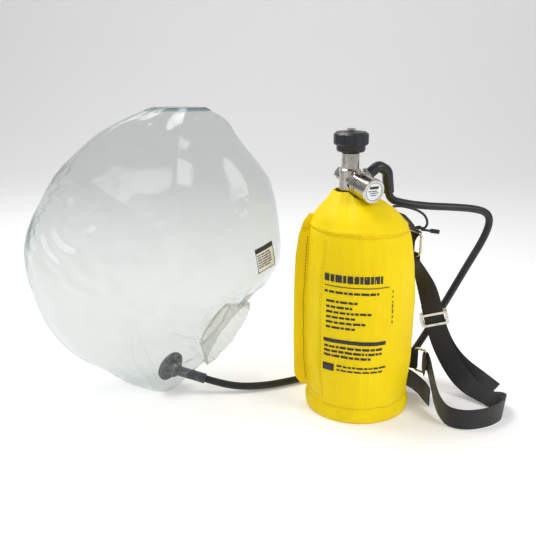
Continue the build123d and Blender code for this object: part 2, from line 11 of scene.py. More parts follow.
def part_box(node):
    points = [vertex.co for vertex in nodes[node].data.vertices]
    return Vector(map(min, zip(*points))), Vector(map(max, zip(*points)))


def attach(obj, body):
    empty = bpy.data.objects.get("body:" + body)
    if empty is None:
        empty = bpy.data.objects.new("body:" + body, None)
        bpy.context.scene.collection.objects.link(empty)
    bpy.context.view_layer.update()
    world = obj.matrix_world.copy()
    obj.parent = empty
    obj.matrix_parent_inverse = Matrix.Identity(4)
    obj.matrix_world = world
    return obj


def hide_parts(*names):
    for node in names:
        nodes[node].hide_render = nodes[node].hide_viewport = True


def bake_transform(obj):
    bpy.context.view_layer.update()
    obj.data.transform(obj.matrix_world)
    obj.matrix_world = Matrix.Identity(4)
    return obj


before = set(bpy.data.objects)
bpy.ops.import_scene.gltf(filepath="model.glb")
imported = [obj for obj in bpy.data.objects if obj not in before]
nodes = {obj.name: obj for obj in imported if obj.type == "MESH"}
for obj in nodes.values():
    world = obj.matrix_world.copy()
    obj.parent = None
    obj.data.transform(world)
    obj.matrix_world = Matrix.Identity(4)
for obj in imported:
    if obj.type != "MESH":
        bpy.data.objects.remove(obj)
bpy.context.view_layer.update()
MM = 0.001
dice = random.Random(7)


# ---------------------------------------------------------------- helpers
def vec(x, y, z):
    return Vector((x * MM, y * MM, z * MM))


def mesh_object(name, points, faces, mat, uvs=None, smooth=True):
    mesh = bpy.data.meshes.new(name)
    mesh.from_pydata([tuple(p) for p in points], [], faces)
    if uvs is not None:
        layer = mesh.uv_layers.new(name="uv")
        for loop in mesh.loops:
            layer.data[loop.index].uv = uvs[loop.vertex_index]
    mesh.validate()
    for polygon in mesh.polygons:
        polygon.use_smooth = smooth
    mesh.materials.append(mat)
    made = bpy.data.objects.new(name, mesh)
    bpy.context.scene.collection.objects.link(made)
    return made


def grid_faces(rows, columns, closed=False):
    """Quads of a rows by columns grid of points; closed joins the last column to the first."""
    faces = []
    for r in range(rows - 1):
        for c in range(columns if closed else columns - 1):
            d = (c + 1) % columns
            faces.append((r * columns + c, r * columns + d, (r + 1) * columns + d, (r + 1) * columns + c))
    return faces


def apply_modifiers(piece):
    bpy.context.view_layer.update()
    shown = piece.evaluated_get(bpy.context.evaluated_depsgraph_get())
    mesh = bpy.data.meshes.new_from_object(shown)
    piece.modifiers.clear()
    piece.data = mesh
    return piece


def thicken(piece, thickness, offset=-1.0):
    solid = piece.modifiers.new("thickness", "SOLIDIFY")
    solid.thickness = thickness * MM
    solid.offset = offset
    solid.use_quality_normals = True
    return apply_modifiers(piece)


class Profile:
    """Natural cubic curves through the columns of a table whose first column is height."""

    def __init__(self, table):
        data = np.array(table, float)
        self.z, self.values = data[:, 0], data[:, 1:]
        n, h = len(self.z), np.diff(self.z)
        system, right = np.eye(n), np.zeros_like(self.values)
        for i in range(1, n - 1):
            system[i, i - 1:i + 2] = h[i - 1], 2 * (h[i - 1] + h[i]), h[i]
            rise_after = (self.values[i + 1] - self.values[i]) / h[i]
            rise_before = (self.values[i] - self.values[i - 1]) / h[i - 1]
            right[i] = 6 * (rise_after - rise_before)
        self.bend = np.linalg.solve(system, right)

    def at(self, height):
        i = int(np.clip(np.searchsorted(self.z, height, side="right") - 1, 0, len(self.z) - 2))
        h = self.z[i + 1] - self.z[i]
        a, b = (self.z[i + 1] - height) / h, (height - self.z[i]) / h
        straight = a * self.values[i] + b * self.values[i + 1]
        return straight + ((a**3 - a) * self.bend[i] + (b**3 - b) * self.bend[i + 1]) * h**2 / 6


def bump_at(value, middle, width):
    return math.exp(-(((value - middle) / width) ** 2))


# ---------------------------------------------------------------- materials
def new_material(name):
    made = bpy.data.materials.new(name)
    made.use_nodes = True
    tree = made.node_tree
    shader = tree.nodes["Principled BSDF"]
    return made, tree, shader


def add(tree, kind, **settings):
    node = tree.nodes.new(kind)
    for key, value in settings.items():
        if key in node.inputs:
            node.inputs[key].default_value = value
        else:
            setattr(node, key, value)
    return node


def ramp(tree, source, low, high, start=0.35, end=0.65):
    node = add(tree, "ShaderNodeValToRGB")
    node.color_ramp.elements[0].color = (*low, 1)
    node.color_ramp.elements[1].color = (*high, 1)
    node.color_ramp.elements[0].position = start
    node.color_ramp.elements[1].position = end
    tree.links.new(source, node.inputs["Fac"])
    return node.outputs["Color"]


def surface(
    name, low, high, roughness, metallic=0.0, patch=40.0, grain=900.0, bump=0.08, spread=0.12, **sockets
):
    """A material whose colour wanders between two tones, with a fine grain in its bump and roughness."""
    made, tree, shader = new_material(name)
    coords = add(tree, "ShaderNodeTexCoord").outputs["Object"]
    broad = add(tree, "ShaderNodeTexNoise", Scale=patch, Detail=4.0)
    fine = add(tree, "ShaderNodeTexNoise", Scale=grain, Detail=3.0)
    tree.links.new(coords, broad.inputs["Vector"])
    tree.links.new(coords, fine.inputs["Vector"])
    tree.links.new(ramp(tree, broad.outputs["Fac"], low, high), shader.inputs["Base Color"])
    rough = add(tree, "ShaderNodeMapRange")
    rough.inputs["To Min"].default_value = max(0.02, roughness - spread)
    rough.inputs["To Max"].default_value = min(1.0, roughness + spread)
    tree.links.new(fine.outputs["Fac"], rough.inputs["Value"])
    tree.links.new(rough.outputs["Result"], shader.inputs["Roughness"])
    relief = add(tree, "ShaderNodeBump", Strength=bump, Distance=0.0004)
    tree.links.new(fine.outputs["Fac"], relief.inputs["Height"])
    tree.links.new(relief.outputs["Normal"], shader.inputs["Normal"])
    shader.inputs["Metallic"].default_value = metallic
    for key, value in sockets.items():
        shader.inputs[key.replace("_", " ")].default_value = value
    return made


def fabric_material():
    """Yellow coated cloth: a fine plain weave under a soft sheen, with faint soiling."""
    made, tree, shader = new_material("coated_yellow_cloth")
    coords = add(tree, "ShaderNodeTexCoord").outputs["Object"]
    broad = add(tree, "ShaderNodeTexNoise", Scale=14.0, Detail=5.0, Roughness=0.6)
    tree.links.new(coords, broad.inputs["Vector"])
    tone = ramp(tree, broad.outputs["Fac"], (0.90, 0.63, 0.002), (0.97, 0.74, 0.002), 0.3, 0.7)
    tree.links.new(tone, shader.inputs["Base Color"])
    heights = []
    for direction, scale in (("Z", 1500.0), ("X", 1500.0)):
        wave = add(tree, "ShaderNodeTexWave", Scale=scale / 6.28, Distortion=1.5)
        wave.inputs["Detail Scale"].default_value = 2.0
        wave.bands_direction = direction
        tree.links.new(coords, wave.inputs["Vector"])
        heights.append(wave.outputs["Fac"])
    weave = add(tree, "ShaderNodeMath", operation="MULTIPLY")
    tree.links.new(heights[0], weave.inputs[0])
    tree.links.new(heights[1], weave.inputs[1])
    creases = add(tree, "ShaderNodeTexNoise", Scale=70.0, Detail=6.0, Roughness=0.65, Distortion=0.8)
    tree.links.new(coords, creases.inputs["Vector"])
    small = add(tree, "ShaderNodeBump", Strength=0.10, Distance=0.0003)
    large = add(tree, "ShaderNodeBump", Strength=0.22, Distance=0.002)
    tree.links.new(weave.outputs["Value"], small.inputs["Height"])
    tree.links.new(creases.outputs["Fac"], large.inputs["Height"])
    tree.links.new(large.outputs["Normal"], small.inputs["Normal"])
    tree.links.new(small.outputs["Normal"], shader.inputs["Normal"])
    shader.inputs["Roughness"].default_value = 0.55
    shader.inputs["Specular IOR Level"].default_value = 0.18
    return made


def webbing_material():
    """Black woven webbing: ribs across and a twill along, drawn in the strap's own millimetres."""
    made, tree, shader = new_material("black_webbing")
    coords = add(tree, "ShaderNodeTexCoord").outputs["UV"]
    ribs = add(tree, "ShaderNodeTexWave", Scale=0.28, Distortion=0.4)
    ribs.bands_direction = "Y"
    twill = add(tree, "ShaderNodeTexWave", Scale=0.2, Distortion=0.6)
    twill.bands_direction = "DIAGONAL"
    for wave in (ribs, twill):
        tree.links.new(coords, wave.inputs["Vector"])
    mixed = add(tree, "ShaderNodeMath", operation="MULTIPLY")
    tree.links.new(ribs.outputs["Fac"], mixed.inputs[0])
    tree.links.new(twill.outputs["Fac"], mixed.inputs[1])
    tones = ramp(tree, mixed.outputs["Value"], (0.003, 0.003, 0.0035), (0.018, 0.018, 0.02), 0.1, 0.9)
    tree.links.new(tones, shader.inputs["Base Color"])
    relief = add(tree, "ShaderNodeBump", Strength=0.5, Distance=0.0005)
    tree.links.new(mixed.outputs["Value"], relief.inputs["Height"])
    tree.links.new(relief.outputs["Normal"], shader.inputs["Normal"])
    shader.inputs["Roughness"].default_value = 0.62
    shader.inputs["Sheen Weight"].default_value = 0.2
    return made


# The film is creased most around its gathered neck, in metres.
CRUMPLE_CENTRE = (-0.175, 0.0, 0.095)


def film_material(name, tint, haze, roughness):
    """Clear film: tinted see-through, a little milky haze, and gloss that rises at grazing angles."""
    made, tree, shader = new_material(name)
    coords = add(tree, "ShaderNodeTexCoord").outputs["Object"]
    output = tree.nodes["Material Output"]
    clear = add(tree, "ShaderNodeBsdfTransparent", Color=(*tint, 1))
    shader.inputs["Base Color"].default_value = (0.80, 0.83, 0.85, 1)
    shader.inputs["Roughness"].default_value = roughness
    shader.inputs["Specular IOR Level"].default_value = 0.8
    cloud = add(tree, "ShaderNodeTexNoise", Scale=16.0, Detail=6.0, Roughness=0.6, Distortion=0.6)
    tree.links.new(coords, cloud.inputs["Vector"])
    milky = add(tree, "ShaderNodeMapRange")
    milky.inputs["From Min"].default_value = 0.35
    milky.inputs["From Max"].default_value = 0.7
    milky.inputs["To Min"].default_value = haze * 0.4
    milky.inputs["To Max"].default_value = haze * 1.6
    tree.links.new(cloud.outputs["Fac"], milky.inputs["Value"])
    body = add(tree, "ShaderNodeMixShader")
    tree.links.new(milky.outputs["Result"], body.inputs["Fac"])
    tree.links.new(clear.outputs["BSDF"], body.inputs[1])
    tree.links.new(shader.outputs["BSDF"], body.inputs[2])
    gloss = add(tree, "ShaderNodeBsdfGlossy", Roughness=roughness, Color=(0.95, 0.97, 1.0, 1))
    creases = add(tree, "ShaderNodeTexNoise", Scale=55.0, Detail=7.0, Roughness=0.55, Distortion=1.2)
    tree.links.new(coords, creases.inputs["Vector"])
    relief = add(tree, "ShaderNodeBump", Distance=0.003)
    tree.links.new(creases.outputs["Fac"], relief.inputs["Height"])
    reach = add(tree, "ShaderNodeVectorMath", operation="DISTANCE")
    reach.inputs[1].default_value = CRUMPLE_CENTRE
    tree.links.new(coords, reach.inputs[0])
    crumple = add(tree, "ShaderNodeMapRange")
    for socket, value in (("From Min", 0.05), ("From Max", 0.19), ("To Min", 0.9), ("To Max", 0.16)):
        crumple.inputs[socket].default_value = value
    tree.links.new(reach.outputs["Value"], crumple.inputs["Value"])
    tree.links.new(crumple.outputs["Result"], relief.inputs["Strength"])
    for socket in (gloss.inputs["Normal"], shader.inputs["Normal"]):
        tree.links.new(relief.outputs["Normal"], socket)
    edge = add(tree, "ShaderNodeFresnel", IOR=1.36)
    tree.links.new(relief.outputs["Normal"], edge.inputs["Normal"])
    top = add(tree, "ShaderNodeMixShader")
    outside = add(tree, "ShaderNodeMath", operation="SUBTRACT", use_clamp=True)
    tree.links.new(edge.outputs["Fac"], outside.inputs[0])
    tree.links.new(add(tree, "ShaderNodeNewGeometry").outputs["Backfacing"], outside.inputs[1])
    tree.links.new(outside.outputs["Value"], top.inputs["Fac"])
    tree.links.new(body.outputs["Shader"], top.inputs[1])
    tree.links.new(gloss.outputs["BSDF"], top.inputs[2])
    tree.links.new(top.outputs["Shader"], output.inputs["Surface"])
    return made


cloth = fabric_material()
webbing = webbing_material()
film = film_material("clear_hood_film", (0.82, 0.838, 0.828), 0.05, 0.045)
seam_film = film_material("welded_film_seam", (0.86, 0.88, 0.885), 0.12, 0.10)
collar_film = film_material("gathered_neck_film", (0.84, 0.85, 0.83), 0.16, 0.10)
crown_film = film_material("folded_crown_film", (0.50, 0.58, 0.58), 0.05, 0.08)
ink = surface("black_print", (0.012, 0.012, 0.014), (0.03, 0.03, 0.03), 0.5, patch=300)
thread = surface("yellow_thread", (0.45, 0.28, 0.01), (0.62, 0.42, 0.02), 0.7, patch=500, bump=0.3)
# Dark thread for the closure leaves' stitches: its dark colour is painted shade, standing in for the crease shadow
# where each leaf meets the pouch body.
crease_shade_thread = surface("crease_shade_thread", (0.03, 0.025, 0.01), (0.09, 0.07, 0.02), 0.8, patch=500, bump=0.3)
rubber = surface(
    "black_rubber", (0.007, 0.009, 0.010), (0.014, 0.017, 0.018), 0.42, patch=60, grain=1400, bump=0.12
)
knob = surface(
    "moulded_black", (0.010, 0.011, 0.014), (0.02, 0.022, 0.026), 0.38, patch=120, grain=1600, bump=0.18
)
plated = surface(
    "nickel_plate", (0.50, 0.47, 0.42), (0.66, 0.63, 0.58), 0.16, 1.0,
    patch=160, grain=700, bump=0.02, spread=0.06
)
wire = surface(
    "plated_wire", (0.52, 0.49, 0.43), (0.70, 0.67, 0.60), 0.24, 1.0, patch=200, grain=900, bump=0.04
)
alloy = surface(
    "brushed_alloy", (0.62, 0.63, 0.64), (0.74, 0.75, 0.76), 0.34, 1.0, patch=80, grain=1200, bump=0.05
)
brass = surface(
    "machined_brass", (0.55, 0.36, 0.12), (0.72, 0.52, 0.22), 0.26, 1.0, patch=200, grain=900, bump=0.03
)
inlet_grey = surface(
    "dark_inlet_plastic", (0.035, 0.04, 0.045), (0.08, 0.09, 0.10), 0.35, patch=140, bump=0.15
)
elastic = surface(
    "soft_elastic", (0.62, 0.61, 0.55), (0.74, 0.73, 0.68), 0.6, patch=300, grain=2200, bump=0.5
)
tape = surface("hook_tape", (0.02, 0.018, 0.01), (0.10, 0.08, 0.02), 0.85, patch=900, grain=2500, bump=0.9)
paper = surface("white_sticker", (0.74, 0.77, 0.80), (0.86, 0.88, 0.90), 0.3, patch=60, grain=500, bump=0.02)

NODE_MATERIALS = {
    "pouch_base": cloth, "hook_tape": tape, "loop_tape": tape, "air_cylinder": alloy, "neck_seal": rubber,
    "valve_body": plated, "valve_bonnet": plated, "spindle": brass, "seat_disc": knob, "handwheel": knob,
    "handwheel_nut": plated, "safety_plug": plated, "regulator_nut": plated, "regulator_barrel": plated,
    "regulator_piston": brass, "regulator_spring": wire, "regulator_cap": plated, "regulator_face": paper,
    "outlet_fitting": plated, "hose_boot": rubber, "inlet_tube": inlet_grey, "inlet_plate": inlet_grey,
    "inlet_hub": inlet_grey, "neck_elastic": elastic, "upper_ring": wire, "lower_ring": wire, "strap_slide": wire,
    "drawcord_tip": rubber,
}
SMOOTH_ANGLE = math.radians(32)
for node_name, node_material in NODE_MATERIALS.items():
    shown = nodes[node_name]
    shown.data.materials.clear()
    shown.data.materials.append(node_material)


# ---------------------------------------------------------------- camera, light and stage
def look_setup():
    camera = bpy.data.objects.new("camera", bpy.data.cameras.new("camera"))
    camera.location = (-0.1109, -0.8567, 0.4282)
    camera.rotation_euler = (math.radians(90 - 16.5), 0, 0)
    camera.data.lens = 50
    camera.data.sensor_width = 36
    bpy.context.scene.collection.objects.link(camera)
    bpy.context.scene.camera = camera

    white, tree, shader = new_material("studio_white")
    shader.inputs["Base Color"].default_value = (0.90, 0.90, 0.895, 1)
    shader.inputs["Emission Color"].default_value = (1, 1, 1, 1)
    shader.inputs["Emission Strength"].default_value = 0.16
    shader.inputs["Roughness"].default_value = 0.9
    shader.inputs["Specular IOR Level"].default_value = 0.1
    turn = np.linspace(0, math.pi / 2, 16)
    profile = [(-3.0, 0.0)] + [(1.6 + 0.8 * math.sin(a), 0.8 - 0.8 * math.cos(a)) for a in turn]
    profile += [(2.4, 3.2)]
    points = [(x, y, z - 0.0006) for y, z in profile for x in (-4, 4)]
    sweep = mesh_object("sweep_backdrop", points, grid_faces(len(profile), 2), white)

    lights = [
        ("key", (0.95, -0.70, 0.88), (-0.1, 0, 0.15), 0.62, 8.0, (1.0, 1.0, 1.0)),
        ("fill", (-1.0, -1.1, 1.0), (-0.1, 0, 0.1), 0.5, 3.6, (1.0, 0.995, 0.98)),
        ("top", (-0.6, 0.35, 1.45), (-0.1, 0.05, 0.0), 0.8, 15.0, (0.99, 0.995, 1.0)),
    ]
    for name, place, target, size, power, colour in lights:
        data = bpy.data.lights.new(name, "AREA")
        data.size = size
        data.energy = power
        data.color = colour
        lamp = bpy.data.objects.new(name, data)
        lamp.location = place
        lamp.rotation_euler = (Vector(target) - Vector(place)).to_track_quat("-Z", "Y").to_euler()
        bpy.context.scene.collection.objects.link(lamp)

    world = bpy.data.worlds.new("studio")
    bpy.context.scene.world = world
    world.use_nodes = True
    tree = world.node_tree
    coords = add(tree, "ShaderNodeTexCoord").outputs["Generated"]
    split = add(tree, "ShaderNodeSeparateXYZ")
    tree.links.new(coords, split.inputs["Vector"])
    sky = ramp(tree, split.outputs["Z"], (0.62, 0.63, 0.65), (1.0, 1.0, 1.0), 0.0, 0.6)
    tree.links.new(sky, tree.nodes["Background"].inputs["Color"])
    tree.nodes["Background"].inputs["Strength"].default_value = 0.40
    bpy.context.scene.view_settings.view_transform = "Standard"


look_setup()


# ---------------------------------------------------------------- hose and drawcord
HOSE_ROUTE = [
    (34, 26, 262), (35.2, 27.4, 253.1), (53, 35, 246.5), (84, 46, 240.5), (121, 57, 237), (150, 66, 233),
    (168, 72, 227), (174, 75, 214), (167, 75, 191), (149, 73, 158), (125, 70, 112), (99, 68, 64), (79, 68, 29),
    (60, 71, 11), (32, 78, 5.5), (-8, 78, 5.2), (-46, 65, 5), (-83, 45, 5.2), (-117, 31, 5.1), (-149, 25, 7),
    (-174, 25, 12), (-192, 27, 17),
]
HOSE_DIAMETER = 9.5
DRAWCORD_ROUTE = [
    (38.5, 17.5, 246), (47, 21, 246), (58, 24.5, 243.5), (70, 27.5, 239.5), (80, 29.5, 233), (84.5, 30.5, 223),
    (81, 31, 215), (76.4, 31, 216.6),
]
DRAWCORD_DIAMETER = 3


def cord_curve(name, route, diameter, mat):
    curve = bpy.data.curves.new(name, "CURVE")
    curve.dimensions = "3D"
    spline = curve.splines.new("NURBS")
    spline.points.add(len(route) - 1)
    for point, place in zip(spline.points, route):
        point.co = (*vec(*place), 1)
    spline.order_u = 3
    spline.use_endpoint_u = True
    spline.resolution_u = 12
    curve.bevel_depth = diameter / 2 * MM
    curve.bevel_resolution = 6
    curve.use_fill_caps = True
    curve.materials.append(mat)
    made = bpy.data.objects.new(name, curve)
    bpy.context.scene.collection.objects.link(made)
    return made


hose = cord_curve("supply_hose", HOSE_ROUTE, HOSE_DIAMETER, rubber)
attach(hose, "main")
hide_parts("hose")

drawcord = cord_curve("pouch_drawcord", DRAWCORD_ROUTE, DRAWCORD_DIAMETER, webbing)
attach(drawcord, "main")
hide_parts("drawcord")


def knot_mesh(name, centre, size, tube, mat):
    """A small trefoil knot of cord."""
    steps, sides = 72, 10
    ring_points = []
    for i in range(steps):
        t = 2 * math.pi * i / steps
        x, y = math.sin(t) + 2 * math.sin(2 * t), math.cos(t) - 2 * math.cos(2 * t)
        ring_points.append(Vector((x, y, -math.sin(3 * t))))
    centres = [Vector(centre) * MM + p * size * MM / 3 for p in ring_points]
    points = []
    for i, c in enumerate(centres):
        along = (centres[(i + 1) % steps] - centres[i - 1]).normalized()
        side = along.cross(Vector((0.3, 0.2, 1))).normalized()
        up = side.cross(along)
        for k in range(sides):
            a = 2 * math.pi * k / sides
            points.append(c + (side * math.cos(a) + up * math.sin(a)) * tube * MM)
    faces = []
    for i in range(steps):
        for k in range(sides):
            j, m = (i + 1) % steps, (k + 1) % sides
            faces.append((i * sides + k, i * sides + m, j * sides + m, j * sides + k))
    return mesh_object(name, points, faces, mat)


knot = knot_mesh("cord_knot", (73.6, 30.6, 217), 3.0, 1.25, webbing)
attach(knot, "main")
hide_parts("drawcord_knot")


# ---------------------------------------------------------------- pouch
POUCH_PROFILE = [
    (0, 0, 0, 61.6), (4, 0, 0, 62.6), (12, 0, 0, 62.2), (60, 0, 0, 64.8), (110, 0, 0, 66), (150, 0, 0, 65.4),
    (190, -1, 0, 63), (210, -1, 0, 60.8), (225, -2, 0, 57.8), (240, -5, 1, 50.3), (252, -8, 3, 38.3),
    (262, -12, 6, 26.2), (268, -14, 8, 19.8),
]
POUCH = Profile(POUCH_PROFILE)
BARREL_ORIGIN = vec(-15, 8, 281)
BARREL_DIRECTION = Vector((0.464, -0.872, -0.156)).normalized()
BARREL_CLEARANCE = 15.6
DOOR_COLUMNS = (180, 220)
DOOR_ROWS = (24, 222)
ANGLE_STEP = 2.0
LEAF_EDGE = [
    (24, -69), (30, -74), (37, -78), (90, -79.4), (150, -79.2), (190, -78), (215, -74.5), (232, -69), (241, -62),
]


def pouch_point(angle, z, out=0.0):
    """A point on the pouch's cloth at an angle about its axis, in degrees, and a height, in millimetres."""
    x, y, radius = POUCH.at(z)
    a = math.radians(angle)
    place = Vector((x + math.cos(a) * radius, y + math.sin(a) * radius, z))
    soft = noise.noise(Vector((math.cos(a) * 2.4, math.sin(a) * 2.4, z / 55))) * 2.4
    pulls = (1 - abs(noise.noise(Vector((math.cos(a) * 5, math.sin(a) * 5, z / 90 + 4))))) ** 6 * 1.3
    uneven = 0.8 + 0.5 * noise.noise(Vector((a * 2.0, 3, 1)))
    hem = 1.0 * bump_at(z, 10, 6.0) - 1.6 * bump_at(z, 18, 1.6) * uneven
    seam = 1.2 * bump_at(z, 230, 2.4) - 1.9 * bump_at(z, 226.5, 1.5)
    folds = 2.4 * bump_at(z, 246, 11) * math.sin(7 * a + 2.5 * noise.noise(Vector((a, z / 40, 2))))
    fade = min(1.0, z / 6)
    swell = (soft + pulls * 0.8 - 1.0) * fade + hem + seam + folds * 0.55
    normal = Vector((math.cos(a), math.sin(a), 0))
    place += normal * (swell + out)
    clear_of_barrel(place)
    return place * MM


def clear_of_barrel(place):
    """Pushes a point of the cloth down until it lies under the regulator barrel."""
    origin, step = BARREL_ORIGIN / MM, 0.5
    for _ in range(60):
        offset = place - origin
        along = offset.dot(BARREL_DIRECTION)
        away = (offset - BARREL_DIRECTION * along).length
        if along < 6 or away >= BARREL_CLEARANCE:
            return
        place.z -= step


def pouch_cloth():
    columns = int(360 / ANGLE_STEP)
    heights = [0, 1.5, 4, 6, 8] + list(np.arange(9, 23, 1.0)) + list(np.arange(24, 220, 3.0))
    heights += list(np.arange(219, 236, 1.0)) + list(np.arange(237, 268, 2.0)) + [268]
    heights = sorted(set(list(heights) + list(DOOR_ROWS)))
    points = [pouch_point(c * ANGLE_STEP, z) for z in heights for c in range(columns)]
    wall, door = [], []
    for face in grid_faces(len(heights), columns, closed=True):
        row, column = divmod(face[0], columns)
        low, angle = heights[row], column * ANGLE_STEP
        in_door = DOOR_ROWS[0] <= low < DOOR_ROWS[1] and DOOR_COLUMNS[0] <= angle < DOOR_COLUMNS[1]
        (door if in_door else wall).append(face)
    return points, wall, door


def leaf_grid(side, low, high):
    """The flat closure edge beside the pouch: side -1 is the front leaf and 1 the back one."""
    rows = list(np.linspace(low, high, 56))
    edge = np.interp(rows, [z for z, _ in LEAF_EDGE], [x for _, x in LEAF_EDGE])
    across = 8
    points = []
    for z, x_out in zip(rows, edge):
        root = pouch_point(180, min(z, 250)) / MM
        for k in range(across + 1):
            t = k / across
            wave = 0.9 * t * noise.noise(Vector((t * 2, z / 22, 5)))
            if side < 0:
                wave -= 1.6 * t * bump_at(z, 228, 26)
            x = root.x + 1.2 + (x_out - root.x - 1.2) * t
            points.append(Vector((x, root.y + side * (1.3 + 0.5 * t) + wave, z)) * MM)
    return points, grid_faces(len(rows), across + 1)


def compact(points, faces):
    used = sorted({i for face in faces for i in face})
    index = {old: new for new, old in enumerate(used)}
    return [points[i] for i in used], [tuple(index[i] for i in face) for face in faces]


def joined(first, second):
    points, faces = first
    shift = len(points)
    return points + second[0], faces + [tuple(i + shift for i in face) for face in second[1]]


cloth_points, wall_faces, door_faces = pouch_cloth()
pouch = mesh_object("pouch_cloth", *joined(compact(cloth_points, wall_faces), leaf_grid(1, 24, 241)), cloth)
thicken(pouch, 1.1, 0.0)
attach(pouch, "main")
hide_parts("pouch_wall")

door_mesh = joined(compact(cloth_points, door_faces), leaf_grid(-1, 24, 222))
door = mesh_object("pouch_door_cloth", *door_mesh, cloth)
thicken(door, 1.1, 0.0)
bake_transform(door)
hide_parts("pouch_door")


def stitches(name, path, mat, length=2.6, gap=1.8, radius=0.28):
    """A row of raised thread stitches along a line of points with outward directions."""
    points, faces = [], []
    travelled, next_start = 0.0, 0.0
    for (a, out_a), (b, _) in zip(path, path[1:]):
        step = (b - a).length / MM
        while next_start < travelled + step:
            t = (next_start - travelled) / step
            along = (b - a).normalized()
            side = along.cross(out_a).normalized()
            start = a + (b - a) * t + out_a * 0.15 * MM
            base = len(points)
            for s, scale in ((0, 0.35), (0.2, 1), (0.8, 1), (1, 0.35)):
                for k in range(6):
                    w = 2 * math.pi * k / 6
                    lift = side * math.cos(w) + out_a * math.sin(w)
                    points.append(start + along * s * length * MM + lift * radius * scale * MM)
            for r in range(3):
                for k in range(6):
                    m = (k + 1) % 6
                    row = base + r * 6
                    faces.append((row + k, row + m, row + 6 + m, row + 6 + k))
            faces.append(tuple(base + k for k in range(5, -1, -1)))
            faces.append(tuple(base + 18 + k for k in range(6)))
            next_start += length + gap
        travelled += step
    return mesh_object(name, points, faces, mat)


def cloth_path(angles, heights, out=0.75):
    line = []
    for angle, z in zip(angles, heights):
        normal = Vector((math.cos(math.radians(angle)), math.sin(math.radians(angle)), 0.15)).normalized()
        line.append((pouch_point(angle, z, out), normal))
    return line


seam_angles = np.arange(222, 536, 3.0)
shoulder_seam = stitches("shoulder_stitching", cloth_path(seam_angles, [224.5] * len(seam_angles)), thread)
hem_seam = stitches("base_stitching", cloth_path(seam_angles, [18.5] * len(seam_angles)), thread)
hinge_heights = np.arange(28, 222, 4.0)
front_line = cloth_path([222.5] * len(hinge_heights), hinge_heights)
front_seam = stitches("front_panel_stitching", front_line, thread)
for row in (shoulder_seam, hem_seam, front_seam):
    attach(row, "main")


# Raised stitches down the root of each closure leaf. The stitch geometry is real, but its dark colour is painted
# shade for the crease where the leaf meets the pouch body.
def leaf_crease_shade_stitches(side, body, name):
    line = []
    for z in np.arange(32, 214, 4.0):
        root = pouch_point(180, z) / MM
        line.append((Vector((root.x - 2.5, root.y + side * 2.15, z)) * MM, Vector((0, side, 0))))
    row = stitches(name, line, crease_shade_thread, 3.0, 1.0, 0.32)
    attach(row, body)


leaf_crease_shade_stitches(-1, "door", "leaf_crease_shade_front")
leaf_crease_shade_stitches(1, "main", "leaf_crease_shade_back")


# ---------------------------------------------------------------- printed panels
def surface_tree(piece):
    corners = [v.co for v in piece.data.vertices]
    return BVHTree.FromPolygons(corners, [tuple(p.vertices) for p in piece.data.polygons])


def projected(tree, origin, right, up, facing, spans, cell=3.0, lift=0.35):
    """Flat marks thrown onto a surface. A span is x0, x1, y0, y1 in millimetres in the mark's own plane."""
    points, faces = [], []
    for x0, x1, y0, y1 in spans:
        nx = max(1, int(abs(x1 - x0) / cell)) + 1
        ny = max(1, int(abs(y1 - y0) / cell)) + 1
        base, good = len(points), True
        patch = []
        for j in range(ny):
            for i in range(nx):
                x, y = x0 + (x1 - x0) * i / (nx - 1), y0 + (y1 - y0) * j / (ny - 1)
                start = origin + (right * x + up * y) * MM - facing * 0.2
                hit, normal, _, _ = tree.ray_cast(start, facing)
                if hit is None:
                    good = False
                    break
                if normal.dot(facing) > 0:
                    normal = -normal
                patch.append(hit + normal * lift * MM)
            if not good:
                break
        if good:
            points += patch
            faces += [tuple(base + k for k in face) for face in grid_faces(ny, nx)]
    return points, faces


def words(x, y, width, height, ragged=1.0):
    """A line of printing as a run of small bars, with no letters in it."""
    spans, here, end = [], x, x + width * ragged
    while here < end - 2:
        long = dice.uniform(3.0, 9.0)
        spans.append((here, min(here + long, end), y, y + height))
        here += long + 1.3
    return spans


print_spans = words(-46, 174, 64, 8.5) + [(-46, 26, 168.6, 169.5)] + words(-46, 161, 60, 2.6)
print_spans += words(-44, 150, 34, 2.6)
for line, share in enumerate((0.44, 0.78, 0.5, 0.68, 0.5)):
    print_spans += words(-44, 143.5 - line * 6.2, 64, 2.6, share)
print_spans += [(-46, 24, 101, 105.6)]
for line, share in enumerate((1.0, 0.98, 0.8)):
    print_spans += words(-45, 94.5 - line * 5.6, 66, 2.8, share)
print_spans += [(-46, -34, 65, 74)] + words(-31, 71.5, 56, 2.2) + words(-31, 66.5, 56, 2.0, 0.95)
print_spans += [(30.2, 31.2, z, z + dice.uniform(2, 5)) for z in np.arange(126, 164, 6.0)]
pouch_tree = surface_tree(pouch)
right_way, up_way, back_way = Vector((1, 0, 0)), Vector((0, 0, 1)), Vector((0, 1, 0))
ink_marks = projected(pouch_tree, Vector((0, 0, 0)), right_way, up_way, back_way, print_spans)
printing = mesh_object("pouch_printing", *ink_marks, ink)
thicken(printing, 0.15, 1.0)
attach(printing, "main")


# ---------------------------------------------------------------- hood
HOOD_SECTIONS = [
    (0, -262, -238, 31, 8), (8, -286, -222, 31, 18), (24, -312, -205, 33, 30), (50, -354, -185, 35, 46),
    (80, -384, -170, 37, 62), (120, -403, -138, 38, 78), (170, -413, -96, 38, 86), (215, -405, -94, 38, 86),
    (260, -382, -102, 38, 78), (300, -350, -124, 36, 64), (330, -316, -146, 34, 44), (350, -276, -164, 32, 26),
    (361, -244, -186, 30, 10),
]
HOOD = Profile(HOOD_SECTIONS)
NECK_CENTRE = Vector((-164, 36, 78))
NECK_DIRECTION = Vector((0.79, 0, -0.61)).normalized()
NECK_UP = NECK_DIRECTION.cross(Vector((0, 1, 0)))
NECK_RADIUS = 46.4


def angle_gap(a, b):
    return (a - b + 180) % 360 - 180


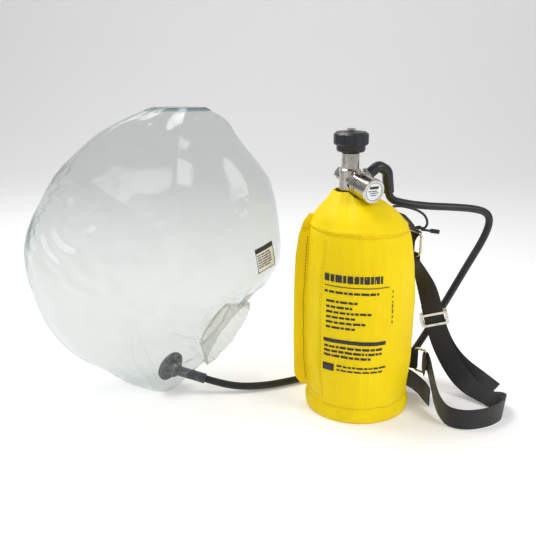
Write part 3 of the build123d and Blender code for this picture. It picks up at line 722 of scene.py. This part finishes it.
def fold(gap, width):
    """A fold that rises to a sharp crest over a width of angle, in degrees."""
    return math.exp(-abs(gap) / width * 1.6)


def ridged(place, scale, seed, sharp=2.0):
    value = noise.noise(Vector((place.x / scale + seed, place.y / scale, place.z / scale)))
    return (1 - abs(value)) ** sharp


def hood_offset(place, angle, z):
    """How far the film stands off its plain oval section, in millimetres."""
    flat = min(1.0, z / 12) * min(1.0, (361 - z) / 14)
    front = 270 + 0.046 * (z - 60)
    crease = 6.5 * fold(angle_gap(angle, front), 9) - 5 * bump_at(angle_gap(angle, front - 24), 0, 18)
    crease -= 4.5 * bump_at(angle_gap(angle, front + 14), 0, 11)
    second = 6.0 * fold(angle_gap(angle, 301 + 0.05 * (z - 160)), 8) * bump_at(z, 158, 62)
    third = 3.5 * fold(angle_gap(angle, 322 - 0.12 * (z - 120)), 7) * bump_at(z, 120, 60)
    side = 3 * fold(angle_gap(angle, 203), 10) - 3 * bump_at(angle_gap(angle, 100), 0, 40)
    to_neck = place - NECK_CENTRE
    around = math.atan2(to_neck.y, to_neck.dot(NECK_DIRECTION.cross(Vector((0, 1, 0)))))
    away = (to_neck - NECK_DIRECTION * to_neck.dot(NECK_DIRECTION)).length
    gather = 3.0 * bump_at(away, 54, 30) * math.sin(17 * around + 4 * noise.noise(place / 40))
    right = min(1.0, max(0.12, (210 - z) / 80)) * bump_at(angle_gap(angle, 320), 0, 48)
    wrinkles = 2.6 * (ridged(place, 150, 3, 5) - 0.6) + (4.6 * ridged(place, 46, 9, 6) - 2.2) * (0.10 + right)
    wrinkles += (2.0 * ridged(place, 21, 21, 4) - 1.1) * right
    foot = 3.5 * (ridged(place, 60, 33, 5) - 0.55) * bump_at(z, 30, 34)
    pleats = 2.2 * bump_at(z, 352, 14) * math.sin(math.radians(angle) * 9 + 3 * noise.noise(place / 30))
    return (crease + second + third + side + wrinkles + foot - 1.5) * flat + gather + pleats


def hood_point(angle, z, out=0.0):
    left, right, y, depth = HOOD.at(z)
    a = math.radians(angle)
    half = (right - left) / 2
    place = Vector(((left + right) / 2 + half * math.cos(a), y + depth * math.sin(a), z))
    normal = Vector((math.cos(a) * depth, math.sin(a) * half, 0)).normalized()
    place += normal * (hood_offset(place, angle, z) + out)
    place.z = max(place.z, 0.4)
    return place * MM


def hood_film():
    columns, heights = 220, [0.4, 1.5, 4] + list(np.linspace(7, 354, 146)) + [357.5, 360, 361]
    points = [hood_point(c * 360 / columns, z) for z in heights for c in range(columns)]
    faces = grid_faces(len(heights), columns, closed=True)
    bottom, top = len(points), len(points) + 1
    last = (len(heights) - 1) * columns
    for middle in (points[:columns], points[last:last + columns]):
        points.append(sum(middle, Vector()) / columns)
    for c in range(columns):
        d = (c + 1) % columns
        faces.append((bottom, d, c))
        faces.append((top, last + c, last + d))

    def neck_reach(p):
        offset = p / MM - NECK_CENTRE
        along = offset.dot(NECK_DIRECTION)
        return along, offset - NECK_DIRECTION * along

    inside = set()
    for i, p in enumerate(points):
        along, away = neck_reach(p)
        if along > -28 and away.length < NECK_RADIUS:
            inside.add(i)
    kept = [f for f in faces if not any(i in inside for i in f)]
    edges = {}
    for f in kept:
        for a, b in zip(f, f[1:] + f[:1]):
            edges[frozenset((a, b))] = edges.get(frozenset((a, b)), 0) + 1
    rim = {i for edge, count in edges.items() if count == 1 for i in edge}
    line = []
    for i in rim:
        along, away = neck_reach(points[i])
        points[i] = (NECK_CENTRE + NECK_DIRECTION * along + away.normalized() * NECK_RADIUS) * MM
        line.append((math.atan2(away.dot(NECK_UP), away.y), along))
    return *compact(points, kept), sorted(line)


*hood_mesh, neck_line = hood_film()
hood = mesh_object("hood_film", *hood_mesh, film)
hood_tree = surface_tree(hood)
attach(hood, "main")
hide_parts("hood")


def film_seam(name, line, height):
    """A welded flange of film standing off the hood along a line of angles and heights."""
    points = []
    for angle, z in line:
        foot, tip = hood_point(angle, z, -0.4), hood_point(angle, z, height)
        points += [foot, foot.lerp(tip, 0.5), tip]
    seam = mesh_object(name, points, grid_faces(len(line), 3), seam_film)
    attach(seam, "main")


tall = np.linspace(10, 352, 110)
film_seam("front_panel_seam", [(270 + 0.046 * (z - 60), z) for z in tall], 1.6)
film_seam("left_rim_seam", [(203 - 6 * math.sin(z / 60), z) for z in np.linspace(20, 338, 100)], 3.0)
film_seam("back_panel_seam", [(96 + 0.02 * (180 - z), z) for z in tall], 2.5)


def crown_patch():
    """The doubled film folded flat over the hood's crown."""
    columns, heights = 96, [357, 358, 359, 360, 360.6, 361]
    points = [hood_point(c * 360 / columns, z, 0.7) + vec(0, 0, 0.5) for z in heights for c in range(columns)]
    middle = sum(points[-columns:], Vector()) / columns
    for share in (0.66, 0.33, 0.05):
        points += [middle.lerp(p, share) for p in points[5 * columns:6 * columns]]
    made = mesh_object("crown_patch", points, grid_faces(len(heights) + 3, columns, closed=True), crown_film)
    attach(made, "main")


crown_patch()


def neck_collar():
    """The gathered film, from the hood's cut rim out to a ruffled mouth and back in to the neck elastic."""
    across = Vector((0, 1, 0))
    rim_radius, elastic_radius, throat = NECK_RADIUS - 0.2, 31.4, 19
    steps, outer, inner = 288, 9, 14
    turns, alongs = zip(*neck_line)
    points = []
    for r in range(outer + inner):
        for s in range(steps):
            a = 2 * math.pi * s / steps - math.pi
            rim = float(np.interp(a, turns, alongs, period=2 * math.pi))
            around_noise = noise.noise(Vector((math.cos(a) * 2, math.sin(a) * 2, 1)))
            mouth = 3.0 + 1.5 * around_noise
            pleat = math.sin(26 * a + 4 * around_noise)
            gather = 1.9 * pleat + 1.2 * math.sin(11 * a)
            if r < outer:
                t = r / (outer - 1)
                radius = rim_radius + gather * t
                along = rim * (1 - t) + mouth * t
            else:
                t = (r - outer + 1) / inner
                radius = rim_radius + (elastic_radius - NECK_RADIUS) * t**1.1 + gather * (1 - t)
                along = mouth * (1 - t) - throat * t
            across_part = across * math.cos(a) + NECK_UP * math.sin(a)
            points.append((NECK_CENTRE + NECK_DIRECTION * along + across_part * radius) * MM)
    rows = outer + inner
    made = mesh_object("gathered_neck_collar", points, grid_faces(rows, steps, closed=True), collar_film)
    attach(made, "main")
    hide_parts("neck_collar")


neck_collar()


# ---------------------------------------------------------------- hood label
def hood_label():
    low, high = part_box("hood_label")
    facing = Vector((-0.6, 0.8, 0)).normalized()
    right = Vector((0.776, 0.582, 0.245)).normalized()
    up = facing.cross(right).normalized() * -1
    origin = (low + high) / 2
    w, h = 14, 16

    def patch(name, spans, mat, lift, thick):
        marks = projected(hood_tree, origin, right, up, facing, spans, 2.5, lift)
        piece = mesh_object(name, *marks, mat)
        thicken(piece, thick, 1.0)
        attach(piece, "main")
        return piece

    sticker = patch("hood_sticker", [(-w, w, -h, h)], paper, 0.8, 0.2)
    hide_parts("hood_label")
    lines = [(-w, w, h - 6, h), (-w, -w + 0.7, -h, h), (w - 0.7, w, -h, h), (-w, w, -h, -h + 0.7)]
    for row in range(6):
        lines += words(-w + 2, h - 10 - row * 3.2, 2 * w - 4, 1.5, 0.85)
    patch("sticker_marks", lines, ink, 1.15, 0.1)


hood_label()


# ---------------------------------------------------------------- webbing
WEB_WIDTH, WEB_THICKNESS = 25, 1.5


def ribbon(name, stations, body, replaced):
    """Flat webbing through stations of a centre and a width direction, smoothed along its length."""
    centres = [Vector(p) for p, _ in stations]
    widths = [Vector(w).normalized() for _, w in stations]
    dense = []
    for i in range(len(centres) - 1):
        a, b = centres[i], centres[i + 1]
        before = centres[i - 1] if i else a * 2 - b
        after = centres[i + 2] if i + 2 < len(centres) else b * 2 - a
        steps = max(2, int((b - a).length / 2.5))
        for k in range(steps):
            t = k / steps
            p = 0.5 * (2 * a + (b - before) * t + (2 * before - 5 * a + 4 * b - after) * t**2
                       + (3 * a - before - 3 * b + after) * t**3)
            dense.append((p, widths[i].lerp(widths[i + 1], t)))
    dense.append((centres[-1], widths[-1]))
    profile = 6
    points, uvs, travelled = [], [], 0.0
    for i, (p, w) in enumerate(dense):
        q, r = dense[max(i - 1, 0)][0], dense[min(i + 1, len(dense) - 1)][0]
        along = (r - q).normalized()
        side = (w - along * w.dot(along)).normalized()
        normal = along.cross(side)
        travelled += (p - dense[i - 1][0]).length if i else 0.0
        outline = []
        for k in range(profile + 1):
            s = -1 + 2 * k / profile
            edge = 0.35 if k in (0, profile) else 1.0
            outline.append((s, edge))
        ring_points = [(s, e) for s, e in outline] + [(s, -e) for s, e in reversed(outline)]
        for s, e in ring_points:
            curl = 0.25 * (1 - s * s)
            place = p + side * s * WEB_WIDTH / 2 + normal * (e * WEB_THICKNESS / 2 + curl)
            points.append(place * MM)
            uvs.append((s * WEB_WIDTH / 2, travelled))
    ring_size = 2 * (profile + 1)
    faces = grid_faces(len(dense), ring_size, closed=True)
    faces.append(tuple(range(ring_size - 1, -1, -1)))
    faces.append(tuple((len(dense) - 1) * ring_size + k for k in range(ring_size)))
    made = mesh_object(name, points, faces, webbing, uvs)
    made.data.set_sharp_from_angle(angle=math.radians(60))
    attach(made, body)
    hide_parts(replaced)
    return made


ring_out = Vector((math.cos(math.radians(20)), math.sin(math.radians(20)), 0))
ring_across = Vector((-ring_out.y, ring_out.x, 0))


def on_ring(r, z):
    return tuple(ring_out * r + Vector((0, 0, z)))


def around(middle, start, end, steps=6, reach=2.9):
    angles = [math.radians(start + (end - start) * i / steps) for i in range(steps + 1)]
    return [(middle[0] + reach * math.cos(a), middle[1] + reach * math.sin(a)) for a in angles]


up = (0, 0, 1)
side_on = tuple(-ring_across)
main_stations = [(on_ring(68.4, 174), side_on), (on_ring(68.2, 181), side_on)]
main_stations += [(on_ring(r, z), side_on) for r, z in around((71, 186), 180, 0)]
main_stations += [
    (on_ring(74.4, 178), side_on), ((75, 24, 168), (0.5, -0.86, 0)), ((80, 23.5, 157), (0.68, -0.73, 0)),
    ((86, 23, 143), (0.85, -0.52, 0)), ((92, 22, 124), (0.95, -0.3, 0)), ((98, 22, 101), (0.97, -0.2, 0.1)),
    ((104, 22, 83), (0.97, -0.2, 0.2)), ((111, 21.5, 65), (0.95, -0.2, 0.3)), ((120, 20, 47), (0.9, -0.2, 0.4)),
    ((131, 17, 30), (0.85, 0.0, 0.45)), ((143, 12, 17), (0.8, 0.3, 0.4)), ((155, 4, 9.5), (0.75, 0.5, 0.3)),
    ((166, -8, 7.5), (0.68, 0.55, 0.35)), ((174, -22, 9.5), (0.5, 0.35, 0.75)),
    ((175, -38, 12.6), (0.2, 0.1, 0.95)),
    ((167, -54, 13), up), ((152, -67, 13), up), ((133, -75, 13), up), ((115, -76, 13), up), ((101, -68, 13.4), up),
    ((95, -52, 16), up), ((92.5, -34, 23), up), ((92, -17, 32), up), ((91.8, 0, 41), up), ((91.5, 9, 45), up),
]
main_stations += [((x, y, 46), up) for x, y in around((88.25, 15.38), 0, 180)]
main_stations += [((85.2, 9, 45.5), up), ((86, 0, 42), up)]
ribbon("carrying_strap", main_stations, "main", "shoulder_strap")

tail_stations = [
    ((93.6, 26.4, 119), (0.97, -0.2, 0.1)), ((98.6, 26.4, 102), (0.97, -0.2, 0.1)),
    ((104.4, 26.4, 85), (0.97, -0.2, 0.2)), ((113.5, 27, 66), (0.93, -0.2, 0.3)),
    ((125, 27, 49), (0.86, -0.2, 0.45)), ((138.5, 26.5, 34.5), (0.8, -0.1, 0.6)),
    ((152.5, 24, 23.5), (0.75, 0.1, 0.6)), ((166, 17, 15.5), (0.7, 0.35, 0.5)),
    ((177, 7, 10.5), (0.75, 0.5, 0.35)),
]
ribbon("strap_free_end", tail_stations, "main", "strap_tail")

waist_stations = [
    ((68.5, 46, 13), up), ((76, 34, 13), up), ((82, 18, 13), up), ((86, 0, 12.8), (0.1, 0, 1)),
    ((89, -18, 12.7), up),
]
ribbon("waist_strap_web", waist_stations, "main", "waist_strap")

upper_tab = [(50.5, 238), (60.5, 228), *around((71, 214), 125, -110), (66, 206), (65.3, 198), (65, 188)]
ribbon("upper_tab_web", [(on_ring(r, z), side_on) for r, z in upper_tab], "main", "upper_tab")
lower_tab = [(58, 34), (66, 33), *around((77.75, 24.62), 57.7, -122.3), (66, 27.5), (61.5, 26.5)]
ribbon("lower_tab_web", [((x, y, 46), up) for x, y in lower_tab], "main", "lower_tab")


# ---------------------------------------------------------------- regulator face print
def face_marks():
    """Generic marks on the regulator's round face: a block, thin bars and a ring."""
    centre = BARREL_ORIGIN + BARREL_DIRECTION * 48.95 * MM
    right = BARREL_DIRECTION.cross(Vector((0, 0, -1))).normalized()
    upward = right.cross(BARREL_DIRECTION).normalized() * -1
    if upward.z < 0:
        upward = -upward
    points, faces = [], []
    bars = [
        (-6.5, 5.5, 3.2, 6.2), (-7.5, -4, 0.2, 1.2), (-3, 4, 0.2, 1.2), (-5, 6.5, -2, -1.2), (-4, 4, -4.4, -3.6),
    ]
    for x0, x1, y0, y1 in bars:
        base = len(points)
        for x, y in ((x0, y0), (x1, y0), (x1, y1), (x0, y1)):
            points.append(centre + (right * x + upward * y) * MM)
        faces.append((base, base + 1, base + 2, base + 3))
    base, steps = len(points), 64
    for k in range(steps):
        a = 2 * math.pi * k / steps
        for radius in (10.2, 10.7):
            points.append(centre + (right * math.cos(a) + upward * math.sin(a)) * radius * MM)
    for k in range(steps):
        a, b = base + 2 * k, base + 2 * ((k + 1) % steps)
        faces.append((a, a + 1, b + 1, b))
    marks = mesh_object("regulator_face_marks", points, faces, ink, smooth=False)
    thicken(marks, 0.12, 0.0)
    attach(marks, "main")


face_marks()

for node_name in NODE_MATERIALS:
    for polygon in nodes[node_name].data.polygons:
        polygon.use_smooth = True
    nodes[node_name].data.set_sharp_from_angle(angle=SMOOTH_ANGLE)
